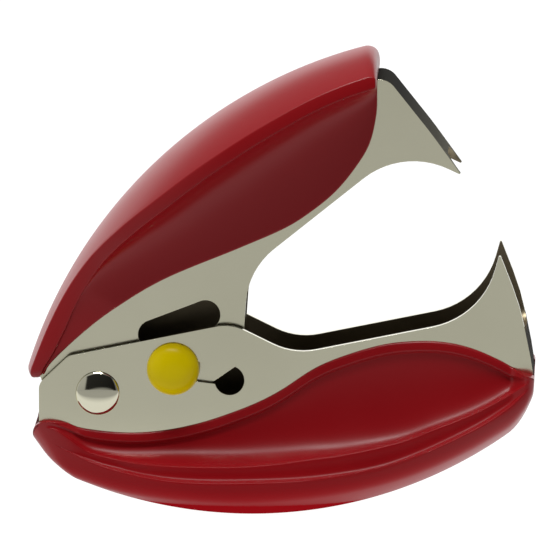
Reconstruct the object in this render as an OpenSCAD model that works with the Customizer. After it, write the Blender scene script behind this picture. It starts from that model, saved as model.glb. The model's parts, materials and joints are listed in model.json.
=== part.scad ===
// Jaw-type staple remover with a sliding lock, in millimetres.
// +X runs from the pivot to the teeth, +Z is up, and the near side, with the lock, is -Y.
// The origin is the centre of the small flat that the lower grip rests on.
// It is drawn at rest, with the spring holding the jaws open.

/* [Jaws] */
// Distance from the pivot to the tips of the teeth
jaw_reach = 50; // [40:0.5:62]
// Outside width of the lower jaw, the wider of the two
lower_w = 13; // [10.8:0.1:17]
// Thickness of the folded steel sheet of both jaws
sheet = 0.8; // [0.5:0.05:1]
// Gap on each side between the lower jaw's cheek and the upper jaw's cheek
jaw_gap = 0.6; // [0.55:0.01:0.9]
// Angle through which the upper jaw closes
close_angle = 28; // [20:0.5:28]
// Length of the web that is cut away between the upper teeth
upper_notch = 2.6; // [1.5:0.1:6]
// Length of the web that is cut away between the lower teeth
lower_notch = 9.8; // [8:0.1:11]

/* [Grips] */
// Width of the lower grip at its widest
lower_grip_w = 26; // [20:0.5:32]
// Width of the upper grip at its widest
upper_grip_w = 24.6; // [19:0.5:31]
// Radius of the crown across the back of each grip
crown_r = 24; // [20:0.5:40]
// Height of the straight side of the lower grip's flange
lower_rim = 2; // [1:0.1:3]
// Height of the straight side of the upper grip's flange
upper_rim = 1.3; // [0.8:0.1:2]
// How far a grip stands proud of the cheek that it covers
lip = 0.7; // [0.4:0.05:1.2]
// Gap between a grip and the jaw that is pressed into it
grip_gap = 0.02; // [0.01:0.01:0.05]
// Depth of the flat that the lower grip rests on
rest_depth = 0.3; // [0.1:0.05:0.6]

/* [Pivot] */
// Diameter of the pivot rivet's shank
rivet_d = 3; // [2:0.1:3.8]
// Diameter of the rivet's domed heads
rivet_head_d = 5.2; // [4.4:0.1:6.4]
// Height of the rivet's domed heads
rivet_head_h = 0.95; // [0.5:0.05:1.5]
// Radial clearance of what turns on the rivet
turn_gap = 0.05; // [0.02:0.01:0.09]
// Radial gap between the rivet and the fixed jaw
seat_gap = 0.02; // [0.01:0.01:0.03]
// Wall of the sleeve between the upper jaw's cheeks
sleeve_wall = 0.75; // [0.4:0.05:1]
// Diameter of the flat washers between the cheeks
washer_d = 6.4; // [5:0.1:8]

/* [Spring] */
// Diameter of the spring's wire
wire_d = 0.7; // [0.5:0.05:0.9]
// Number of turns in the coil
coil_turns = 6; // [3:1:7]
// Radial gap between the sleeve and the coil
coil_gap = 0.45; // [0.2:0.05:0.8]

/* [Lock] */
// Diameter of the pin that slides in the slots
lock_pin_d = 2.2; // [1.6:0.05:2.7]
// Side gap between the pin and the slot in the lower jaw
slot_gap = 0.1; // [0.05:0.01:0.2]
// Distance from the pivot to the pin when the lock is open, along X
lock_start = 8.9; // [8.4:0.1:10]
// Height of the pin above the pivot when the lock is open
lock_rise = 2.97; // [2.6:0.05:3.4]
// Slope of the slot, downwards from the pivot
slot_slope = 7; // [4:0.5:9]
// Travel of the lock along its slot
lock_travel = 6.65; // [5:0.05:7]
// Diameter of the round hole at the slot's locked end
keyhole_d = 3.52; // [3.3:0.02:4.2]
// Side play of the pin in the straight part of the upper jaw's slot
hook_play = 0.65; // [0.3:0.05:0.8]
// Side gap between the pin and the curved part of the upper jaw's slot
swing_gap = 0.2; // [0.15:0.05:0.25]
// Diameter of the domed button
button_d = 6.2; // [5:0.1:7]
// Height of the domed button
button_h = 2.2; // [1.8:0.1:3]
// Gap between the button and the cheek it slides along
button_gap = 0.12; // [0.05:0.01:0.3]
// Thickness of the slide plate between the cheeks
plate_t = 0.3; // [0.2:0.05:0.4]
// Diameter of the pin's head inside the jaws
pin_head_d = 4.2; // [3.8:0.1:5]
// Thickness of the pin's head inside the jaws
pin_head_h = 0.7; // [0.5:0.05:1]

/* [Hidden] */

// The outlines are drawn for teeth 50 mm from the pivot and scaled to the reach.
k = jaw_reach / 50;
steel = [0.72, 0.71, 0.63];
dark_steel = [0.35, 0.34, 0.3];
red = [0.68, 0.1, 0.13];
yellow = [0.85, 0.75, 0.02];
far = 40 * k;
button_crown = 0.8;
pin_head_gap = 0.1;
arc_step = 6;
round_fn = 96;

upper_w = lower_w - 2 * sheet - 2 * jaw_gap;
rivet_r = rivet_d / 2;
pin_r = lock_pin_d / 2;

// Circles that the backs of the grips and of the jaws follow, seen from the side.
lower_back_c = [18, 36.9] * k;
lower_back_r = 52 * k;
upper_back_c = [45.9, -14.7] * k;
upper_back_r = 57 * k;
lower_web_c = [18.9, 32.06] * k;
lower_web_r = 44.8 * k;
upper_web_c = [43, -14.35] * k;
upper_web_r = 52.6 * k;
// Direction of the upper grip's length.
upper_lean = 39;

// The pivot's place, so that the flat under the lower grip is at the origin.
pivot_x = -lower_back_c.x;
pivot_z = lower_back_r - lower_back_c.y - rest_depth;

// The lock pin's path in the lower jaw, and the same path in the upper jaw when closed.
slot_dir = [cos(slot_slope), -sin(slot_slope)];
lock_open = [lock_start, lock_rise];
lock_shut = lock_open + lock_travel * slot_dir;
hook_open = turned(lock_open, close_angle);
hook_shut = turned(lock_shut, close_angle);
slot_r = pin_r + slot_gap;
hook_r = pin_r + hook_play;
swing_half = pin_r + swing_gap;
keyhole_c = lock_shut + [0.04, slot_r - keyhole_d / 2];

coil_r = rivet_r + turn_gap + sleeve_wall + coil_gap + wire_d / 2;
coil_pitch = wire_d + 0.03;

function turned(p, a) = [p.x * cos(a) - p.y * sin(a), p.x * sin(a) + p.y * cos(a)];
function unit(v) = v / norm(v);
function on_circle(c, r, a) = c + r * [cos(a), sin(a)];

// Points along the arc of radius r that rounds the corner p between a and b.
function corner_arc(a, p, b, r) =
    let (
        u = unit(a - p),
        w = unit(b - p),
        half = acos(u * w) / 2,
        c = p + unit(u + w) * r / sin(half),
        s = p + u * r / tan(half),
        start = atan2(s.y - c.y, s.x - c.x),
        sweep = (180 - 2 * half) * sign(cross(p - a, b - p)),
        n = max(1, ceil(abs(sweep) / arc_step))
    )
    [for (i = [0:n]) on_circle(c, r, start + sweep * i / n)];

// A closed outline whose corners, each [x, z, radius], are rounded.
function rounded(corners) =
    let (n = len(corners))
    [for (i = [0:n - 1])
        let (
            p = corners[i],
            a = corners[(i + n - 1) % n],
            b = corners[(i + 1) % n]
        )
        each p[2] == 0
            ? [[p.x, p.y]]
            : corner_arc([a.x, a.y], [p.x, p.y], [b.x, b.y], p[2])];

function scaled(corners) = [for (p = corners) p * k];

// Lower cheek: pivot end, mouth edge, tooth, nose. The back is cut by the web's circle.
lower_cheek = scaled([
    [-6.95, -4, 0], [-6.95, 1.1, 1.5], [-3.4, 4.45, 1.5], [15.7, 8.35, 5],
    [23.1, 4.72, 8], [45.2, 9.2, 9.5], [47.25, 16.5, 0], [47.45, 16.5, 0],
    [49.75, 10.6, 30], [51.4, 2.6, 20], [51.5, -20, 0], [-6.2, -20, 0], [-6.2, -5, 0]
]);
lower_nose = scaled([[47.45, 16.5], [49.75, 10.6], [51.4, 2.6], [51.5, -20]]);

// Upper cheek, without its slot: mouth edge, tooth, nose and the round pivot end.
upper_cheek = scaled([
    [42.55, 26.05, 0], [42.7, 26.15, 0], [39.25, 30.9, 30], [34.05, 37.45, 2.2],
    [24, 35.7, 0], [20, 60, 0], [-40, 30, 0], [-6.95, 2, 0], [-6.4, 0.5, 1], [-6.4, -6.4, 6.3],
    [3, -6.4, 4], [7, -4.5, 3], [11, 3, 0], [16.9, 3, 0.5],
    [17.7, 14.6, 9], [35.9, 29.2, 9.5]
]);
upper_nose = scaled([[42.7, 26.15], [39.25, 30.9], [34.1, 37.2], [28, 45]]);

// Side outlines of the grips. The backs are cut by their crowned surfaces.
lower_grip_side = scaled([
    [-6.3, -3.3, 0.4], [-2.6, -4.5, 5], [10.4, -5.25, 16], [30.8, 5.2, 25],
    [40.5, 6.75, 16], [50.4, 2.55, 0.3], [51.5, 2.55, 0.3], [51.5, -1.2, 2],
    [46, -9, 0], [40, -20, 0], [0, -20, 0], [-4.6, -10.5, 3], [-7.6, -5, 1.6]
]);
upper_grip_side = scaled([
    [-6.5, 1.9, 1], [4.2, 12.85, 30], [22.4, 19.1, 28], [32.85, 29.2, 14],
    [32.9, 45, 0], [10, 50, 0], [-20, 20, 0], [-8.6, 1.9, 1]
]);

// Half-widths of the grips along their length, as a share of the widest.
lower_plan = [
    [-9, 0.5, 0], [-6.5, 0.57, 6], [1, 0.8, 15], [9, 0.97, 30],
    [22, 1.02, 60], [38, 0.93, 40], [49, 0.76, 6], [52, 0.68, 0]
];
upper_plan = [
    [-5, 0.475, 0], [3.5, 0.49, 8], [11, 0.79, 12], [21, 0.99, 25],
    [32, 1.02, 40], [51, 0.85, 0]
];

// Extrudes an outline drawn in X and Z by a width centred on Y.
module across(w) {
    rotate([90, 0, 0]) linear_extrude(height = w, center = true) children();
}

// A cylinder along Y between two values of Y.
module y_cyl(r, y0, y1) {
    translate([0, y1, 0]) rotate([90, 0, 0]) cylinder(r = r, h = y1 - y0, $fn = round_fn);
}

module at(p) { translate([p.x, 0, p.y]) children(); }
module from_pivot() { translate([pivot_x, 0, pivot_z]) children(); }

// Straight slot through a jaw's near cheek, with round ends of radius r at a and b. Its
// sides lie a hair inside the ends' tangents.
module slot_cut(a, b, r, w) {
    side = r - 0.01;
    at(a) y_cyl(r, -w, 0);
    at(b) y_cyl(r, -w, 0);
    at(a) rotate([0, -atan2(b.y - a.y, b.x - a.x), 0])
        translate([0, -w, -side]) cube([norm(b - a), w, 2 * side]);
}

// Solid of a jaw's outer shape: the cheek outline within its web's circle.
module jaw_block(corners, c, r, w) {
    intersection() {
        across(w) polygon(rounded(corners));
        at(c) y_cyl(r, -w / 2, w / 2);
    }
}

// The space inside a folded jaw: open at the mouth, walled along the back and the nose.
module jaw_hollow(nose, c, r, w) {
    inside = [for (p = nose) p - sheet * unit(c.y > 0 ? [1, 0.28] : [0.8, 0.6])];
    last = inside[len(inside) - 1];
    intersection() {
        at(c) y_cyl(r - sheet, -w / 2 + sheet, w / 2 - sheet);
        across(w) polygon(concat(
            c.y > 0 ? [[-far, far * 2]] : [[far * 2, -far]],
            c.y > 0 ? [[inside[0].x - 3 * k, far * 2]] : [[far * 2, inside[0].y - 4 * k]],
            inside,
            c.y > 0 ? [[last.x, -far], [-far, -far]] : [[last.x - far, last.y + far], [-far, -far]]
        ));
    }
}

// Cuts the web between the teeth, from the tips back along the nose.
module notch(nose, depth, w) {
    tip = nose[0];
    back = unit(nose[1] - nose[0]);
    inner_w = w - 2 * sheet;
    corner = min(2, inner_w / 4);
    at(tip + back * depth)
        rotate([0, 90 - atan2(-back.y, -back.x), 0])
            translate([0, 0, -3 * k]) {
                translate([0, 0, 3 * k + corner])
                    translate([-4 * k, -inner_w / 2, 0]) cube([8 * k, inner_w, depth * 2]);
                translate([-4 * k, corner - inner_w / 2, 3 * k])
                    cube([8 * k, inner_w - 2 * corner, depth * 2]);
                for (side = [-1, 1])
                    translate([-4 * k, side * (inner_w / 2 - corner), 3 * k + corner])
                        rotate([0, 90, 0]) cylinder(r = corner, h = 8 * k, $fn = 48);
            }
}

module lower_jaw() {
    color(steel) from_pivot() difference() {
        jaw_block(lower_cheek, lower_web_c, lower_web_r, lower_w);
        jaw_hollow(lower_nose, lower_web_c, lower_web_r, lower_w);
        notch(lower_nose, lower_notch * k, lower_w);
        y_cyl(rivet_r + seat_gap, -lower_w, lower_w);
        slot_cut(lock_open, lock_shut, slot_r, lower_w);
        at(keyhole_c) y_cyl(keyhole_d / 2, -lower_w, 0);
    }
}

// The slot in the upper jaw's near cheek: straight where the lock shuts, curved where the
// jaw swings, and open at the front, so that the pin can also slide while the jaws are open.
module hook_slot(w) {
    swing_r = norm(lock_open);
    open_a = atan2(lock_open.y, lock_open.x);
    slot_cut(hook_open, hook_shut, hook_r, w);
    slot_cut(lock_open, lock_open + 2 * lock_travel * slot_dir, slot_r, w);
    intersection() {
        difference() {
            y_cyl(swing_r + swing_half, -w, 0);
            y_cyl(swing_r - swing_half, -w - 1, 1);
        }
        across(2 * w) polygon([
            [0, 0], on_circle([0, 0], far, open_a),
            on_circle([0, 0], far, open_a + close_angle)
        ]);
    }
}

module upper_jaw() {
    color(steel) from_pivot() difference() {
        jaw_block(upper_cheek, upper_web_c, upper_web_r, upper_w);
        jaw_hollow(upper_nose, upper_web_c, upper_web_r, upper_w);
        notch(upper_nose, upper_notch * k, upper_w);
        y_cyl(rivet_r + turn_gap, -upper_w, upper_w);
        hook_slot(upper_w);
    }
}

// Cross-section of a grip as [distance from the back circle's centre, y]: the crown,
// the straight rim and the finger scoop that sweeps in to the lip beside the cheek.
function grip_section(back_r, half_w, rim, cheek, depth) =
    let (
        drop = function (y) crown_r - sqrt(crown_r * crown_r - y * y),
        foot = back_r - drop(half_w) - rim,
        in_r = back_r - depth,
        n = 14,
        crown = [for (i = [0:n]) let (y = half_w * i / n) [back_r - drop(y), y]],
        scoop = [for (i = [0:n]) let (a = 90 * i / n)
            [in_r + (foot - in_r) * cos(a), half_w - (half_w - cheek) * sin(a)]]
    )
    concat([[in_r - 6, 0]], crown, scoop, [[in_r - 6, cheek]]);

// The crowned, flanged solid of a grip, before the jaw's hollow is taken out of it.
module grip_block(c, back_r, w, rim, cheek, depth) {
    section = grip_section(back_r, w / 2, rim, cheek, depth);
    at(c) rotate([90, 0, 0])
        for (m = [0, 1]) mirror([0, 0, m]) rotate_extrude($fn = 180) polygon(section);
}

// Extrudes a plan, given as [distance along the length, share of the half-width, radius],
// through the whole height of a grip.
module plan_block(plan, half_w, lean) {
    side = [for (p = plan) [p.x * k, p.y * half_w, p[2] * k]];
    other = [for (i = [len(side) - 1:-1:0]) [side[i].x, -side[i].y, side[i][2]]];
    rotate([0, -lean, 0]) linear_extrude(height = 4 * far, center = true)
        polygon(rounded(concat(side, other)));
}

module lower_grip() {
    hollow_w = lower_w + 2 * grip_gap;
    color(red) difference() {
        from_pivot() difference() {
            intersection() {
                grip_block(lower_back_c, lower_back_r, lower_grip_w, lower_rim,
                    lower_w / 2 + lip, 20 * k);
                plan_block(lower_plan, lower_grip_w / 2, 0);
                across(2 * far) polygon(rounded(lower_grip_side));
            }
            jaw_block(lower_cheek, lower_web_c, lower_web_r + grip_gap, hollow_w);
        }
        translate([-far, -far, -far]) cube([2 * far, 2 * far, far]);
    }
}

module upper_grip() {
    color(red) from_pivot() difference() {
        intersection() {
            grip_block(upper_back_c, upper_back_r, upper_grip_w, upper_rim,
                upper_w / 2 + lip, 15 * k);
            plan_block(upper_plan, upper_grip_w / 2, upper_lean);
            across(2 * far) polygon(rounded(upper_grip_side));
        }
        jaw_block(upper_cheek, upper_web_c, upper_web_r + grip_gap, upper_w + 2 * grip_gap);
    }
}

module pivot_rivet() {
    reach = lower_w / 2;
    cap_r = (rivet_head_d * rivet_head_d / 4 + rivet_head_h * rivet_head_h) / (2 * rivet_head_h);
    color(steel) from_pivot() {
        y_cyl(rivet_r, -reach, reach);
        for (m = [0, 1]) mirror([0, m, 0]) intersection() {
            translate([0, reach + rivet_head_h - cap_r, 0]) rotate([90, 0, 0])
                sphere(r = cap_r, $fn = round_fn);
            y_cyl(rivet_head_d, reach, reach + 2 * rivet_head_h);
        }
    }
}

module tube(r_out, r_in, y0, y1) {
    difference() {
        y_cyl(r_out, y0, y1);
        y_cyl(r_in, y0 - 1, y1 + 1);
    }
}

module pivot_sleeve() {
    half = upper_w / 2 - sheet - 0.08;
    bore = rivet_r + turn_gap;
    color(steel) from_pivot() tube(bore + sleeve_wall, bore, -half, half);
}

module pivot_washer(side) {
    mid = side * (upper_w + jaw_gap) / 2;
    t = jaw_gap - 0.1;
    color(steel) from_pivot() tube(washer_d / 2, rivet_r + turn_gap, mid - t / 2, mid + t / 2);
}

// A straight leg of the spring, from where it leaves the coil to a point on a jaw's web.
module spring_leg(seat, y, side) {
    d = norm(seat);
    a = atan2(seat.y, seat.x) + side * acos(coil_r / d);
    start = on_circle([0, 0], coil_r, a);
    translate([start.x, y, start.y])
        rotate([0, 90 - atan2(seat.y - start.y, seat.x - start.x), 0])
            cylinder(r = wire_d / 2, h = norm(seat - start), $fn = 24);
}

module torsion_spring() {
    half = coil_pitch * (coil_turns - 1) / 2;
    room = sheet + wire_d / 2 + 0.06;
    color(dark_steel) from_pivot() {
        for (i = [0:coil_turns - 1])
            translate([0, i * coil_pitch - half, 0]) rotate([90, 0, 0])
                rotate_extrude($fn = 72) translate([coil_r, 0]) circle(d = wire_d + 0.04, $fn = 24);
        spring_leg(on_circle(lower_web_c, lower_web_r - room, 260), -half, -1);
        spring_leg(on_circle(upper_web_c, upper_web_r - room, 139), half, 1);
    }
}

// The pin runs from inside the button through both near cheeks to a flat head.
module lock_pin() {
    outer = -lower_w / 2 - button_gap - button_h + button_crown;
    inner = sheet + pin_head_gap - upper_w / 2;
    color(steel) from_pivot() at(lock_open) {
        y_cyl(pin_r, outer, inner + pin_head_h / 2);
        y_cyl(pin_head_d / 2, inner, inner + pin_head_h);
    }
}

// A flat plate on the pin, with a slanted end, that fills the slot behind the lower cheek.
module lock_plate() {
    mid = -(upper_w + jaw_gap) / 2;
    top = slot_r + 0.5;
    color(steel) from_pivot() difference() {
        at(lock_open) rotate([0, slot_slope, 0]) translate([0, mid, 0])
            across(plate_t) polygon(rounded([
                [-2.5, top, 0.8], [-2.5, -top, 0.8], [4.2, -top, 0.3], [8, top, 0.3]
            ]));
        at(lock_open) y_cyl(pin_r + seat_gap, -lower_w, lower_w);
    }
}

// A domed button with a blind hole for the pin.
module lock_button() {
    edge = 0.7;
    r = button_d / 2;
    n = 12;
    dome = [for (i = [0:n]) let (a = 90 * i / n)
        [r * cos(a), edge + (button_h - edge) * sin(a)]];
    color(yellow) from_pivot() at(lock_open)
        rotate([90, 0, 0]) translate([0, 0, lower_w / 2 + button_gap])
            difference() {
                rotate_extrude($fn = round_fn) polygon(concat([[0, 0], [r, 0]], dome));
                translate([0, 0, -1])
                    cylinder(r = pin_r + seat_gap, h = button_h - button_crown + 1, $fn = round_fn);
            }
}

lower_jaw();
upper_jaw();
lower_grip();
upper_grip();
pivot_rivet();
pivot_sleeve();
pivot_washer(-1);  // pivot_washer_near
pivot_washer(1);  // pivot_washer_far
torsion_spring();
lock_pin();
lock_plate();
lock_button();
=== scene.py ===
"""The looks of a jaw-type staple remover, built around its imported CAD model."""
import json
import math

import bmesh
import bpy
import numpy as np
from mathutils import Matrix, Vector

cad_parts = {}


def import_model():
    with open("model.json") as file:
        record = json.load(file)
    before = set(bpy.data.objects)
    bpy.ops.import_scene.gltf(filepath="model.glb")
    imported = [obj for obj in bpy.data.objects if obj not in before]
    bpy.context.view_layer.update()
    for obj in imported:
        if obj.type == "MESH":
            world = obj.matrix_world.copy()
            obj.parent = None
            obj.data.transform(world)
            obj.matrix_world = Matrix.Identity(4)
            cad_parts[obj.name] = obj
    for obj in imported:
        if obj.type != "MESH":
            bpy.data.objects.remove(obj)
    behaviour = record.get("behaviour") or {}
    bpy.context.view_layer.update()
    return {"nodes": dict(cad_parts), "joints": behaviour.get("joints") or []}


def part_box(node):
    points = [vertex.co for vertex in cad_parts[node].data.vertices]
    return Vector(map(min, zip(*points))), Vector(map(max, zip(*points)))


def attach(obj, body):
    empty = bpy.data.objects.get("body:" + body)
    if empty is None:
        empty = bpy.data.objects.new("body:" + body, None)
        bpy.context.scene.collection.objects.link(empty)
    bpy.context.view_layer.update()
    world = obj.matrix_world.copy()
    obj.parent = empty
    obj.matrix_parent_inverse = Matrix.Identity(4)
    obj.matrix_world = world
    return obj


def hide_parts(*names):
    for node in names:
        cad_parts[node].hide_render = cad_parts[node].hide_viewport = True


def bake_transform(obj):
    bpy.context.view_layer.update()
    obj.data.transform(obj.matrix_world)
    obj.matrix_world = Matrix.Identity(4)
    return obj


MM = 0.001


# ---------------------------------------------------------------- the frame
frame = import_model()
nodes = frame["nodes"]
joints = {j["name"]: j for j in frame["joints"]}
PIVOT = Vector(joints["jaw_hinge"]["pos_m"])


def place(x, y, z):
    """A point given in millimetres from the pivot, as a point of the frame."""
    return PIVOT + Vector((x, y, z)) * MM


def width(node):
    """Size of a CAD node along Y, in millimetres."""
    low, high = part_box(node)
    return (high.y - low.y) / MM


LOWER_W = width("lower_jaw")
UPPER_W = width("upper_jaw")
SHEET = 0.8  # thickness of the jaws' steel
GRIP_GAP = 0.02  # between a grip and the jaw inside it
LIP = 0.7  # how far a grip stands proud of the cheek that it covers
RIVET_R = 1.5  # radius of the rivet's shank
LOWER_WEB = ((18.9, 32.06), 44.8)  # centre and radius of the lower jaw's arched back
UPPER_WEB = ((43, -14.35), 52.6)  # the same of the upper jaw


# ---------------------------------------------------------------- mesh helpers
def new_object(name, points, faces, body, material, node=None):
    """A mesh piece that rides on a body; points are in metres, in the frame."""
    mesh = bpy.data.meshes.new(name)
    mesh.from_pydata([tuple(p) for p in points], [], [tuple(f) for f in faces])
    mesh.validate()
    piece = bpy.data.objects.new(name, mesh)
    bpy.context.scene.collection.objects.link(piece)
    tidy_normals(mesh)
    mesh.materials.append(material)
    if body:
        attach(piece, body)
    if node:
        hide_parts(node)
    return piece


def tidy_normals(mesh, sharp_deg=38):
    """Outward normals, smooth faces and sharp edges where the surface really turns."""
    bm = bmesh.new()
    bm.from_mesh(mesh)
    bmesh.ops.remove_doubles(bm, verts=bm.verts, dist=2e-7)
    bmesh.ops.recalc_face_normals(bm, faces=bm.faces)
    limit = math.radians(sharp_deg)
    for face in bm.faces:
        face.smooth = True
    for edge in bm.edges:
        edge.smooth = len(edge.link_faces) == 2 and edge.calc_face_angle(0) < limit
    bm.to_mesh(mesh)
    bm.free()


def bezier(a, b, c, d, n):
    """n + 1 points along a cubic curve in a plane."""
    out = []
    for i in range(n + 1):
        t = i / n
        s = 1 - t
        out.append(tuple(s**3 * a[k] + 3 * s * s * t * b[k] + 3 * s * t * t * c[k] + t**3 * d[k]
                         for k in range(2)))
    return out


def bend(a, b, c, n):
    """n + 1 points along a quadratic curve from a to c, pulled towards b."""
    p = tuple(a[k] + (b[k] - a[k]) * 2 / 3 for k in range(2))
    q = tuple(c[k] + (b[k] - c[k]) * 2 / 3 for k in range(2))
    return bezier(a, p, q, c, n)


def smooth_curve(points, n=16):
    """A Catmull-Rom curve through points, as a dense list."""
    p = [np.array(q, float) for q in points]
    p = [2 * p[0] - p[1], *p, 2 * p[-1] - p[-2]]
    out = []
    for i in range(1, len(p) - 2):
        for s in range(n):
            t = s / n
            out.append(0.5 * (2 * p[i] + (p[i + 1] - p[i - 1]) * t
                              + (2 * p[i - 1] - 5 * p[i] + 4 * p[i + 1] - p[i + 2]) * t * t
                              + (3 * p[i] - p[i - 1] - 3 * p[i + 1] + p[i + 2]) * t**3))
    out.append(p[-2])
    return out


def crossing(origin, way, line):
    """How far from origin, along way, it first crosses a line of points."""
    best = None
    side = np.array([-way[1], way[0]])
    for a, b in zip(line, line[1:]):
        fa, fb = float((a - origin) @ side), float((b - origin) @ side)
        if fa == fb or fa * fb > 0:
            continue
        q = a + (b - a) * fa / (fa - fb)
        d = float((q - origin) @ way)
        if d > 0.1 and (best is None or d < best):
            best = d
    return best


def value_at(pairs, x):
    """Smooth value at x through (x, value) pairs."""
    xs = [p[0] for p in pairs]
    if x <= xs[0]:
        return pairs[0][1]
    if x >= xs[-1]:
        return pairs[-1][1]
    line = smooth_curve(pairs, 12)
    return float(np.interp(x, [p[0] for p in line], [p[1] for p in line]))


def ring_faces(count, n):
    """Faces that join count rings of n points, with a cap on the first and the last ring."""
    faces = []
    for i in range(count - 1):
        for j in range(n):
            k = (j + 1) % n
            faces.append((i * n + j, i * n + k, (i + 1) * n + k, (i + 1) * n + j))
    last = (count - 1) * n
    faces.append(tuple(range(n)))
    faces.append(tuple(range(last + n - 1, last - 1, -1)))
    return faces


def lathe(profile, centre, side, n=96):
    """Points and faces of (radius, height) turned about Y; height grows towards side."""
    points = []
    for r, y in profile:
        for i in range(n):
            a = 2 * math.pi * i / n
            points.append(place(centre[0] + r * math.cos(a), centre[1] + side * y,
                                centre[2] + r * math.sin(a)))
    return points, ring_faces(len(profile), n)


# ---------------------------------------------------------------- materials
class Shader:
    """A Principled material with a few helpers for its procedural nodes."""

    def __init__(self, name):
        self.material = bpy.data.materials.new(name)
        self.material.use_nodes = True
        self.tree = self.material.node_tree
        self.main = next(n for n in self.tree.nodes if n.type == "BSDF_PRINCIPLED")
        self.coords = self.node("ShaderNodeTexCoord").outputs["Object"]

    def node(self, kind, **inputs):
        made = self.tree.nodes.new(kind)
        for key, value in inputs.items():
            made.inputs[key.replace("_", " ")].default_value = value
        return made

    def link(self, a, b):
        self.tree.links.new(a, b)

    def set(self, **inputs):
        for key, value in inputs.items():
            self.main.inputs[key.replace("_", " ")].default_value = value

    def noise(self, scale, detail=3.0, stretch=(1, 1, 1)):
        space = self.node("ShaderNodeMapping", Scale=stretch)
        self.link(self.coords, space.inputs["Vector"])
        made = self.node("ShaderNodeTexNoise", Scale=scale, Detail=detail)
        self.link(space.outputs["Vector"], made.inputs["Vector"])
        return made.outputs["Fac"]

    def ramp(self, source, stops):
        made = self.node("ShaderNodeValToRGB")
        while len(made.color_ramp.elements) < len(stops):
            made.color_ramp.elements.new(0.5)
        for element, (at, colour) in zip(made.color_ramp.elements, stops):
            element.position = at
            element.color = (*colour, 1)
        self.link(source, made.inputs["Fac"])
        return made.outputs["Color"]

    def spread(self, source, low, high):
        """The middle part of a noise, stretched over low to high."""
        return self.map_range(source, 0.3, 0.7, low, high)

    def along(self, axis, start, end, high=1.0):
        """0 to high between two places on an object axis, in millimetres."""
        parts = self.node("ShaderNodeSeparateXYZ")
        self.link(self.coords, parts.inputs["Vector"])
        return self.map_range(parts.outputs[axis], start * MM, end * MM, 0.0, high)

    def map_range(self, source, start, end, low, high):
        made = self.node("ShaderNodeMapRange", From_Min=start, From_Max=end, To_Min=low, To_Max=high)
        self.link(source, made.inputs["Value"])
        return made.outputs["Result"]

    def bump(self, source, depth, strength=1.0):
        made = self.node("ShaderNodeBump", Distance=depth, Strength=strength)
        self.link(source, made.inputs["Height"])
        self.link(made.outputs["Normal"], self.main.inputs["Normal"])


def steel(name, dark, light, rough):
    """Plated sheet steel: faint mottling, long fine scratches and a soft uneven gloss."""
    s = Shader(name)
    s.set(Metallic=1.0)
    mottle = s.noise(60, 3)
    s.link(s.ramp(mottle, [(0.3, dark), (0.7, light)]), s.main.inputs["Base Color"])
    scratch = s.noise(700, 2, (1, 1, 10))
    s.link(s.spread(scratch, rough[0], rough[1]), s.main.inputs["Roughness"])
    s.bump(s.noise(1800, 2, (1, 1, 5)), 0.000002, 0.3)
    return s.material


def painted_reflection_steel(name, stops, low, high):
    """Dull sheet steel for the folded noses whose colour is a painted dark reflection, with a lighter
    band set by height.
    """
    s = Shader(name)
    s.set(Roughness=0.8, Specular_IOR_Level=0.05)
    s.link(s.ramp(s.along("Z", low, high), stops), s.main.inputs["Base Color"])
    return s.material


def plastic(name, dark, light, rough, grain, ior, shine, dull=None):
    """Moulded plastic: slight colour drift, faint orange peel and a satin gloss.

    dull is a pair of heights: the shine is gone at the first and whole at the second.
    """
    s = Shader(name)
    s.set(IOR=ior, Specular_IOR_Level=shine)
    s.link(s.ramp(s.noise(40, 2), [(0.3, dark), (0.7, light)]), s.main.inputs["Base Color"])
    s.link(s.spread(s.noise(150, 2), rough[0], rough[1]), s.main.inputs["Roughness"])
    s.bump(s.noise(900, 2), grain, 0.25)
    if dull:
        s.link(s.along("Z", *dull, shine), s.main.inputs["Specular IOR Level"])
    return s.material


NICKEL = steel("nickel_sheet", (0.72, 0.70, 0.53), (0.76, 0.74, 0.565), rough=(0.15, 0.18))
# Darker steel for the faces inside the folds: the darkness is painted shade, the mottling is the steel's
# own.
NICKEL_IN_PAINTED_SHADE = steel("nickel_inside_painted_shade", (0.20, 0.165, 0.11), (0.26, 0.22, 0.145), rough=(0.35, 0.45))
# Colours of the painted reflection on the folded noses, low to high: dark, a lighter band, then near
# black.
NOSE_REFLECTION_STOPS = [(0.0, (0.02, 0.018, 0.012)), (0.45, (0.02, 0.018, 0.012)), (0.62, (0.16, 0.155, 0.12)),
              (0.75, (0.06, 0.056, 0.042)), (0.88, (0.012, 0.011, 0.008))]
NOSE_REFLECTION = painted_reflection_steel("nickel_nose_painted_reflection", NOSE_REFLECTION_STOPS, low=15, high=55)
BRIGHT = steel("nickel_polished", (0.58, 0.565, 0.44), (0.62, 0.60, 0.47), rough=(0.05, 0.08))
SPRING = steel("spring_wire", (0.22, 0.21, 0.18), (0.32, 0.31, 0.27), rough=(0.25, 0.4))
ZINC = steel("zinc_steel", (0.42, 0.42, 0.38), (0.50, 0.50, 0.46), rough=(0.3, 0.42))
RED = plastic("red_plastic", (0.265, 0.004, 0.007), (0.28, 0.0044, 0.0075), rough=(0.30, 0.34),
              grain=0.000003, ior=1.4, shine=0.4, dull=(2, 12))
YELLOW = plastic("yellow_plastic", (0.72, 0.555, 0.0), (0.75, 0.575, 0.0), rough=(0.26, 0.3),
                 grain=0.000002, ior=1.45, shine=0.12)


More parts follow.
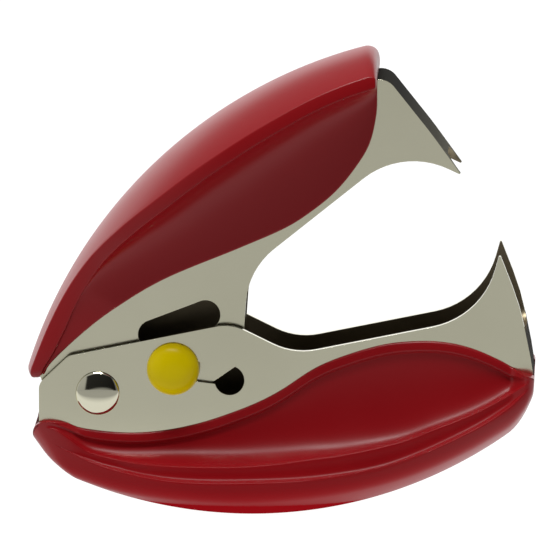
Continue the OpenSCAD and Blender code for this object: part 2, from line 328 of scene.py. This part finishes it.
# ---------------------------------------------------------------- folded steel
def sheet_piece(name, node, body, material, edge=0.12, folded=False):
    """A CAD steel part with its edges rounded; a folded one gets painted shade inside and a painted dark
    reflection on its nose.
    """
    mesh = nodes[node].data
    bm = bmesh.new()
    for v in mesh.vertices:
        bm.verts.new(v.co)
    bm.verts.ensure_lookup_table()
    for p in mesh.polygons:
        corners = [bm.verts[i] for i in p.vertices]
        if not bm.faces.get(corners):
            bm.faces.new(corners)
    bmesh.ops.remove_doubles(bm, verts=bm.verts, dist=1e-6)
    bmesh.ops.dissolve_limit(bm, angle_limit=math.radians(1.0), verts=bm.verts, edges=bm.edges,
                             use_dissolve_boundaries=False)
    for face in bm.faces:
        face.smooth = True
    made = bpy.data.meshes.new(name)
    bm.to_mesh(made)
    bm.free()
    piece = bpy.data.objects.new(name, made)
    bpy.context.scene.collection.objects.link(piece)
    made.materials.append(material)
    if folded:
        # Faces inside the fold get painted shade; the outer back of the fold gets a painted dark
        # reflection.
        made.materials.append(NICKEL_IN_PAINTED_SHADE)
        made.materials.append(NOSE_REFLECTION)
        half = width(node) / 2 * MM
        for p in made.polygons:
            widest = max(abs(made.vertices[i].co.y) for i in p.vertices)
            cut_edge = abs(p.normal.y) < 0.5 and abs(p.center.y) > half - SHEET * MM
            if abs(p.center.y) < half - SHEET * 0.5 * MM and not cut_edge:
                p.material_index = 2 if widest > half - 0.1 * MM else 1
    bevel = piece.modifiers.new("edges", "BEVEL")
    bevel.width = edge * MM
    bevel.segments = 3
    bevel.limit_method = "ANGLE"
    bevel.angle_limit = math.radians(35)
    bevel.use_clamp_overlap = True
    weighted = piece.modifiers.new("normals", "WEIGHTED_NORMAL")
    weighted.keep_sharp = True
    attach(piece, body)
    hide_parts(node)
    return piece


sheet_piece("lower_jaw_sheet", "lower_jaw", "lower_assembly", NICKEL, 0.2, True)
sheet_piece("upper_jaw_sheet", "upper_jaw", "upper_assembly", NICKEL, 0.2, True)
sheet_piece("slide_plate", "lock_plate", "lock", NICKEL, 0.06)
for side_name in ("near", "far"):
    sheet_piece("washer_" + side_name, "pivot_washer_" + side_name, "lower_assembly", ZINC,
                0.06)
sheet_piece("sleeve", "pivot_sleeve", "lower_assembly", ZINC, 0.08)
sheet_piece("pin", "lock_pin", "lock", ZINC, 0.15)


# ---------------------------------------------------------------- grips
def drop(y, crown):
    """How far the crown has fallen, y millimetres from the middle."""
    return crown - math.sqrt(crown * crown - y * y)


class Grip:
    """The side curves of a grip, in millimetres from the pivot, seen from the side."""

    def __init__(self, centre, radius, crown, lip_line, web, ends, lean, half_widths):
        self.centre = np.array(centre, float)
        self.radius = radius
        self.crown = crown
        self.lip_line = np.array(smooth_curve(lip_line))
        steps = np.linalg.norm(np.diff(self.lip_line, axis=0), axis=1)
        self.along = np.concatenate([[0.0], np.cumsum(steps)])
        self.web_c = np.array(web[0], float)
        self.web_r = web[1] + GRIP_GAP
        self.ends = ends
        self.lean = math.radians(lean)
        self.half_widths = half_widths

    def station(self, u):
        """Foot on the back circle and unit direction to the lip line at share u."""
        a0, a1 = self.ends
        a = math.radians(a0 + (a1 - a0) * u)
        foot = self.centre + self.radius * np.array([math.cos(a), math.sin(a)])
        s = u * self.along[-1]
        lip = np.array([float(np.interp(s, self.along, self.lip_line[:, k])) for k in (0, 1)])
        way = lip - foot
        reach = float(np.linalg.norm(way))
        return foot, way / reach, reach

    def span(self):
        """Length of the back between the two ends, in millimetres."""
        a0, a1 = self.ends
        return abs(math.radians(a1 - a0)) * self.radius

    def half_width(self, p):
        """Half-width of the crown's edge at a point of the side view."""
        along = p[0] * math.cos(self.lean) + p[1] * math.sin(self.lean)
        return value_at(self.half_widths, along)

    def web(self, foot, way, reach):
        """Distance from the foot to the folded jaw's back."""
        m = foot - self.web_c
        b = float(m @ way)
        c = float(m @ m) - self.web_r**2
        if b * b - c < 0:
            return reach
        near, far = -b - math.sqrt(b * b - c), -b + math.sqrt(b * b - c)
        hit = near if near > 0 else far
        return max(0.4, min(reach - 0.05, hit))


GRIP_STATIONS = 110
END_CAP = 0.012  # share of the grip at its pivot end that closes the channel


def loft_grip(name, grip, section, end_round, body, node):
    """Skins the sections of a grip and closes both ends, which are rounded."""
    rows = []
    for u in share_list(GRIP_STATIONS, grip, end_round):
        foot, way, reach = grip.station(u)
        half = section(grip, u, foot, way, reach)
        loop = half + [(d, -y) for d, y in reversed(half[1:-1])]
        near = end_insets(u * grip.span(), end_round[0], reach)
        far = end_insets((1 - u) * grip.span(), end_round[1], reach)
        back, front, side = (max(pair) for pair in zip(near, far))
        widest = max(y for _, y in loop)
        row = []
        for d, y in loop:
            y2 = y * (widest - side) / widest
            d2 = back + d * (reach - back - front) / reach
            p = foot + way * d2
            row.append(place(p[0], y2, p[1]))
        rows.append(row)
    points = [p for row in rows for p in row]
    new_object(name, points, ring_faces(len(rows), len(rows[0])), body, RED, node)


def end_insets(off, radii, reach):
    """How far the back, the lip and the sides draw in at a distance from a rounded end."""
    out = []
    for r, most in zip(radii, (0.6 * reach, 0.38 * reach, reach)):
        r = min(r, most)
        out.append(r - math.sqrt(max(0.0, r * r - (r - off) ** 2)) if off < r else 0.0)
    return out


def share_list(count, grip, end_round):
    """Shares along the grip: even in the middle and crowded where the ends are round."""
    span = grip.span()
    shares = {i / count for i in range(count + 1)}
    for i in range(10):
        part = 1 - math.cos(math.pi / 2 * i / 10)
        for first, last in zip(*end_round):
            shares.add(first / span * part)
            shares.add(1 - last / span * part)
    return sorted(shares)


LOWER = Grip(
    centre=(18, 36.9), radius=52, crown=24,
    lip_line=[(-8.4, -4.5), (-6.5, -3.35), (-4.1, -3.45), (-2, -4.15), (1.4, -4.6), (4.6, -4.7),
              (7.8, -4.4), (10.9, -3.8), (14, -2.9), (18.2, -1.3), (21.5, 0.4), (25.6, 3.1), (29.5, 4.75),
              (33.9, 6), (38, 6.4), (41.4, 6.2), (44.4, 5.45), (47.4, 4.15), (49.4, 3.05), (51.5, 2.4)],
    web=LOWER_WEB, ends=(244.4, 309.6), lean=0,
    half_widths=[(-9, 6.9), (-6.5, 7.5), (-4.1, 8.0), (1.75, 9.9), (9, 12.2), (20.2, 13), (28, 12.6),
                 (35.4, 11.7), (44.5, 10.7), (50.1, 9.6), (52, 9)],
)
LOWER_RIDGE = smooth_curve([(-12, -3), (-6.4, -5.3), (-4.1, -6.4), (1.75, -8.5), (10, -9.6), (20.2, -9.5),
                            (28, -8.9), (35.4, -7.4), (44.5, -3.4), (50.1, 0.2), (54, 3)])
LOWER_CREASE = smooth_curve([(-12, -1), (-6, -3.6), (-3.3, -5.16), (-2, -6.1), (-0.4, -6.9), (3, -7.6),
                             (7.2, -7.9), (15.1, -7.95), (20.3, -7.6), (24.9, -7), (29.4, -6.4),
                             (35.5, -5.1), (39.9, -3.5), (44.5, -1.7), (48.95, 0.62), (54, 3.6)])


def ease(x, low, high):
    """0 below low, 1 above high and smooth between them."""
    t = max(0.0, min(1.0, (x - low) / (high - low)))
    return t * t * (3 - 2 * t)


def channel(grip, u, foot, way, reach, cheek):
    """The end of a section's half: the channel that the folded jaw sits in."""
    web = reach - 0.05 if u < END_CAP else grip.web(foot, way, reach)
    return [(reach, cheek + GRIP_GAP), (web, cheek + GRIP_GAP), (web, 0.0)]


def lower_section(grip, u, foot, way, reach):
    """Half of the lower grip's section: crown, flank, band, scoop, lip, channel."""
    cheek = LOWER_W / 2
    ridge = crossing(foot, way, LOWER_RIDGE) or reach * 0.6
    ridge = min(ridge, reach - 1.2)
    crease = crossing(foot, way, LOWER_CREASE) or reach * 0.7
    crease = min(max(crease, ridge + 0.35), reach - 0.8)
    half = grip.half_width(foot + way * ridge)
    lip_w = min(1.2, (reach - crease) * 0.4)
    lip_y = cheek + LIP
    step = min(1.25, (half - lip_y) * 0.4)
    crease_y = half - step
    soft = min(1.6, half * 0.3)
    crown = [half * i / 10 * (1 - soft / half) for i in range(10)]
    out = [(drop(y, grip.crown), y) for y in crown]
    start = (drop(half - soft, grip.crown), half - soft)
    out += bend(start, (drop(half, grip.crown) * 0.97, half), (drop(half, grip.crown) + soft, half), 6)
    carved = len(out)
    out += bend((ridge - 0.2, half), (ridge, half), (ridge + 0.05, half - 0.2), 4)
    gap = crease - ridge
    out += bezier((ridge + 0.07, half - 0.3), (ridge + 0.1, half - 0.75 * step),
                  (ridge + 0.3 * gap, crease_y + 0.1), (crease - 0.14, crease_y + 0.04), 9)
    out += bend((crease - 0.06, crease_y + 0.02), (crease, crease_y),
                (crease + 0.02, crease_y - 0.1), 3)
    top = reach - lip_w
    rise = top - crease
    depth = crease_y - lip_y
    dip = 0.3 * min(1.0, depth / 2.0)
    out += bezier((crease + 0.05, crease_y - 0.18), (crease + 0.08, crease_y - 0.62 * depth),
                  (crease + 0.35 * rise, lip_y + 0.1 * depth - dip), (top - 0.12, lip_y - dip), 16)
    out += bend((top, lip_y - 0.7 * dip), (top + 0.08, lip_y + 0.05), (top + 0.3, lip_y + 0.03), 4)
    out += bend((reach - 0.3, lip_y - 0.26), (reach, lip_y - 0.32), (reach, lip_y - 0.55), 5)
    keep = ease(u, 0.025, 0.10) * ease(1 - u, 0.008, 0.05)
    out = out[:carved] + [(d, half - (half - y) * keep) for d, y in out[carved:]]
    return out + channel(grip, u, foot, way, reach, cheek)


UPPER = Grip(
    centre=(45.9, -14.7), radius=57, crown=24,
    lip_line=[(-6.2, 1.7), (-5.7, 3.2), (-1.9, 6.9), (2.35, 10.2), (8.05, 13.6), (16.6, 17.2), (22, 19.6),
              (25.2, 21.65), (28, 24), (30.3, 26.8), (32, 29.7), (32.8, 33.2), (32.88, 36.2)],
    web=UPPER_WEB, ends=(163.8, 103.2), lean=39,
    half_widths=[(-6, 5.3), (-2.5, 5.6), (1.25, 5.75), (5.1, 6.1), (9, 7.0), (12, 8.1), (15.2, 9.3),
                 (21, 11), (29, 11.9), (36, 11.9), (40.6, 11.5), (47.1, 10.8), (50, 10.4), (53, 9.9)],
)
# Height of the strip below the ridge, against the share along the grip.
UPPER_RIM = [(0, 2.0), (0.1, 1.9), (0.18, 1.68), (0.27, 1.46), (0.38, 1.35), (0.7, 1.3), (1, 1.3)]


def upper_section(grip, u, foot, way, reach):
    """Half of the upper grip's section: crown, ridge, strip, scoop, lip, channel."""
    cheek = UPPER_W / 2
    on_back = grip.half_width(foot)
    half = grip.half_width(foot + way * drop(on_back, grip.crown))
    ridge = min(drop(half, grip.crown), reach * 0.5)
    rim = min(value_at(UPPER_RIM, u), (reach - ridge) * (0.8 - 0.35 * ease(u, 0.0, 0.15)))
    lip_y = cheek + min(LIP, (half - cheek) * 0.6)
    edge = half - min(0.42, rim * 0.3)
    rest = drop(edge, grip.crown)
    out = [(drop(edge * i / 12, grip.crown), edge * i / 12) for i in range(12)]
    out += bend((rest - 0.06, edge - 0.14), (rest, edge), (rest + 0.12, edge + 0.03), 3)
    low = ridge + rim
    out += bend((low - 0.2, half - 0.04), (low, half), (low + 0.02, half - 0.2), 4)
    rise = reach - low
    turn = half - lip_y
    out += bezier((low + 0.03, half - 0.28), (low + 0.04 * rise, half - 0.8 * turn),
                  (low + 0.4 * rise, lip_y - 0.12 * min(1, turn)), (reach - 0.3, lip_y), 16)
    out += bend((reach - 0.2, lip_y), (reach, lip_y), (reach, lip_y - 0.2), 3)
    return out + channel(grip, u, foot, way, reach, cheek)


# Radii of the back's, the lip's and the sides' corners, at the pivot end and at the nose end.
LOWER_ENDS = ((2.8, 1.7, 2.6), (3.6, 0.4, 1.0))
UPPER_ENDS = ((1.4, 1.1, 0.9), (1.9, 0.3, 0.6))
loft_grip("lower_grip_moulding", LOWER, lower_section, LOWER_ENDS, "lower_assembly", "lower_grip")
loft_grip("upper_grip_moulding", UPPER, upper_section, UPPER_ENDS, "upper_assembly", "upper_grip")


# ---------------------------------------------------------------- rivet and button
def rivet():
    """One rivet: a shank and two low domed heads with a rolled edge."""
    half = LOWER_W / 2
    low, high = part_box("pivot_rivet")
    head_h = (high.y - low.y) / MM / 2 - half
    head_r = (high.x - low.x) / MM / 2
    profile = [(0.05, head_h)]
    for i in range(1, 15):
        a = math.pi / 2 * i / 14
        profile.append((head_r * math.sin(a), 0.14 + (head_h - 0.14) * math.cos(a) ** 1.15))
    profile += [(head_r, 0.1), (head_r - 0.06, 0.02), (RIVET_R, 0.0)]
    faces, points = [], []
    for side in (-1, 1):
        p, f = lathe(profile, (0, side * half, 0), side)
        faces += [tuple(i + len(points) for i in face) for face in f]
        points += p
    p, f = lathe([(RIVET_R, -half - 0.1), (RIVET_R, half + 0.1)], (0, 0, 0), 1, 48)
    faces += [tuple(i + len(points) for i in face) for face in f]
    points += p
    new_object("rivet", points, faces, "lower_assembly", BRIGHT, "pivot_rivet")


def button():
    """The domed button with a soft shoulder and a small step at its foot."""
    low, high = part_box("lock_button")
    middle = ((low + high) / 2 - PIVOT) / MM
    r = (high.x - low.x) / MM / 2
    height = (high.y - low.y) / MM
    profile = [(1.2, 0.0), (r - 0.1, 0.0), (r - 0.02, 0.06)]
    for i in range(16):
        a = math.pi / 2 * i / 16
        profile.append((r * math.cos(a) ** 0.72, 0.15 + (height - 0.15) * math.sin(a) ** 0.95))
    profile.append((0.04, height))
    points, faces = lathe(profile, (middle.x, high.y / MM, middle.z), -1)
    new_object("button", points, faces, "lock", YELLOW, "lock_button")


rivet()
button()


# ---------------------------------------------------------------- spring
WIRE_R = 0.35
COIL_TURNS = 6
COIL_PITCH = 0.73
TURN_GAP, SLEEVE_WALL, COIL_GAP = 0.05, 0.75, 0.45  # what lies between the rivet and the wire
COIL_R = RIVET_R + TURN_GAP + SLEEVE_WALL + COIL_GAP + WIRE_R
LEG_ROOM = SHEET + WIRE_R + 0.06  # from the jaw's outer back to the middle of the wire
LOWER_SEAT, UPPER_SEAT = 260, 139  # degrees round the jaws' backs at which the legs end


def between(a, b, shares):
    """Points at some shares of the way from a to b."""
    return [tuple(a[k] + (b[k] - a[k]) * t for k in range(3)) for t in shares]


def leg(web, angle, side):
    """Where a leg ends on a jaw's back, and the angle at which it leaves the coil."""
    centre, radius = web
    a = math.radians(angle)
    seat = np.array(centre, float) + (radius - LEG_ROOM) * np.array([math.cos(a), math.sin(a)])
    return seat, math.atan2(seat[1], seat[0]) + side * math.acos(COIL_R / float(np.linalg.norm(seat)))


def spring():
    """A real helix round the sleeve, with a straight leg on each jaw's back."""
    half = COIL_PITCH * (COIL_TURNS - 1) / 2 + 0.1
    first_seat, a0 = leg(LOWER_WEB, LOWER_SEAT, -1)
    last_seat, a1 = leg(UPPER_WEB, UPPER_SEAT, 1)
    while a1 < a0:
        a1 += 2 * math.pi
    sweep = a1 - a0 + 2 * math.pi * (COIL_TURNS - 1)
    coil = []
    steps = 40 * COIL_TURNS
    for i in range(steps + 1):
        a = a0 + sweep * i / steps
        coil.append((COIL_R * math.cos(a), -half + 2 * half * i / steps, COIL_R * math.sin(a)))
    first = (first_seat[0], -half, first_seat[1])
    last = (last_seat[0], half, last_seat[1])
    line = [first, *between(first, coil[0], (0.25, 0.5, 0.75)), *coil,
            *between(coil[-1], last, (0.25, 0.5, 0.75, 1))]
    points, faces = sweep_tube(line, WIRE_R)
    piece = new_object("spring_coil", points, faces, None, SPRING, "torsion_spring")
    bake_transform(piece)


def sweep_tube(line, radius, n=14):
    """A closed round tube along a line of points in millimetres."""
    pts = [Vector(p) for p in line]
    points = []
    normal = Vector((0, 1, 0))
    for i, p in enumerate(pts):
        ahead = pts[min(i + 1, len(pts) - 1)] - pts[max(i - 1, 0)]
        way = ahead.normalized()
        normal = (normal - way * normal.dot(way)).normalized()
        other = way.cross(normal)
        for k in range(n):
            a = 2 * math.pi * k / n
            q = p + normal * (radius * math.cos(a)) + other * (radius * math.sin(a))
            points.append(place(q.x, q.y, q.z))
    return points, ring_faces(len(pts), n)


spring()


# ---------------------------------------------------------------- stage, light, camera
FLOOR_HALF = 4.0
FLOOR_TURN = (-62, -34)  # where the floor turns from grey to white, along Y, in millimetres


def floor():
    """A white sweep that turns greyer in front of the object, as the cheeks reflect it."""
    mesh = bpy.data.meshes.new("floor")
    corners = [(x * FLOOR_HALF, y * FLOOR_HALF, 0) for x, y in ((-1, -1), (1, -1), (1, 1), (-1, 1))]
    mesh.from_pydata(corners, [], [(0, 1, 2, 3)])
    made = bpy.data.objects.new("floor", mesh)
    bpy.context.scene.collection.objects.link(made)
    paper = Shader("floor_paper")
    ahead = paper.along("Y", *FLOOR_TURN)
    tone = paper.ramp(ahead, [(0.0, (0.42, 0.42, 0.42)), (1.0, (1.0, 1.0, 1.0))])
    paper.link(tone, paper.main.inputs["Emission Color"])
    paper.set(Base_Color=(0.06, 0.06, 0.06, 1), Roughness=0.9, Emission_Strength=1.0)
    mesh.materials.append(paper.material)


def area_light(name, at, aim, size, power):
    """A white rectangular lamp that faces a point."""
    data = bpy.data.lights.new(name, "AREA")
    data.shape = "RECTANGLE"
    data.size, data.size_y = size
    data.energy = power
    made = bpy.data.objects.new(name, data)
    made.location = at
    made.rotation_mode = "QUATERNION"
    made.rotation_quaternion = (Vector(aim) - Vector(at)).to_track_quat("-Z", "Y")
    bpy.context.scene.collection.objects.link(made)


def world():
    """A dim room: a broad bright sky above and behind, and a dark patch high in front."""
    made = bpy.data.worlds.new("studio")
    bpy.context.scene.world = made
    made.use_nodes = True
    tree = made.node_tree
    back = tree.nodes["Background"]
    coords = tree.nodes.new("ShaderNodeTexCoord").outputs["Generated"]
    back.inputs["Color"].default_value = (1, 1, 1, 1)

    def toward(way):
        """Cosine of the angle between the view and a direction."""
        dot = tree.nodes.new("ShaderNodeVectorMath")
        dot.operation = "DOT_PRODUCT"
        dot.inputs[1].default_value = Vector(way).normalized()
        tree.links.new(coords, dot.inputs[0])
        return dot.outputs["Value"]

    def smooth_step(source, low, high, start, end):
        """A smooth change from start to end as the source goes from low to high."""
        step = tree.nodes.new("ShaderNodeMapRange")
        step.interpolation_type = "SMOOTHSTEP"
        for key, value in (("From Min", low), ("From Max", high), ("To Min", start), ("To Max", end)):
            step.inputs[key].default_value = value
        tree.links.new(source, step.inputs["Value"])
        return step.outputs["Result"]

    def combine(kind, *terms):
        """A maths node on numbers and sockets."""
        made = tree.nodes.new("ShaderNodeMath")
        made.operation = kind
        for socket, value in zip(made.inputs, terms):
            if isinstance(value, float):
                socket.default_value = value
            else:
                tree.links.new(value, socket)
        return made.outputs["Value"]

    def facing(way, low, high, dim, lit):
        """Smooth radiance from dim to lit as the view turns towards a direction."""
        return smooth_step(toward(way), low, high, dim, lit)

    def within(way, half, soft):
        """1 well inside a band around the plane square to a direction, and 0 outside it."""
        return smooth_step(combine("ABSOLUTE", toward(way)), half, half + soft, 1, 0)

    turn, rise = math.radians(12), math.radians(33)  # where the dark patch is
    ahead = Vector((math.sin(turn) * math.cos(rise), -math.cos(turn) * math.cos(rise), math.sin(rise)))
    across = Vector((math.cos(turn), math.sin(turn), 0))
    behind = combine("MULTIPLY", within((0, 0, 1), 0.36, 0.1), facing((-0.35, 0.94, 0), 0.1, 0.8, 0, 1.0))
    sky = combine("ADD", behind, facing((-0.6, -0.3, 0.7), -0.2, 0.95, 0.24, 0.55))
    patch = combine("MULTIPLY", within(across, 0.62, 0.1), within(across.cross(ahead), 0.44, 0.1))
    patch = combine("MULTIPLY", patch, facing(ahead, 0.0, 0.1, 0.0, 1.0))
    patch = combine("MULTIPLY", patch, -0.95)
    patch = combine("ADD", patch, 1.0)
    tree.links.new(combine("MULTIPLY", sky, patch), back.inputs["Strength"])


IMAGE_PX = 560
SENSOR_MM = 36
AIM = Vector((0.0035, -0.0065, 0.0284))
BACK = Vector((0.030, -0.988, 0.153)).normalized()
DISTANCE = 1.3
FOCAL_PX = 11050


def camera():
    """The photograph's view: a long lens, level with the object and nearly square to it."""
    data = bpy.data.cameras.new("camera")
    data.sensor_width = SENSOR_MM
    data.lens = FOCAL_PX / IMAGE_PX * SENSOR_MM
    data.clip_start = 0.05
    data.clip_end = 20
    made = bpy.data.objects.new("camera", data)
    made.location = AIM + BACK * DISTANCE
    made.rotation_mode = "QUATERNION"
    made.rotation_quaternion = (-BACK).to_track_quat("-Z", "Y")
    bpy.context.scene.collection.objects.link(made)
    bpy.context.scene.camera = made


floor()
world()
area_light("key", (-0.03, -0.08, 0.45), (0, 0, 0.02), (0.22, 0.12), 1.5)
camera()
bpy.context.scene.view_settings.view_transform = "Standard"
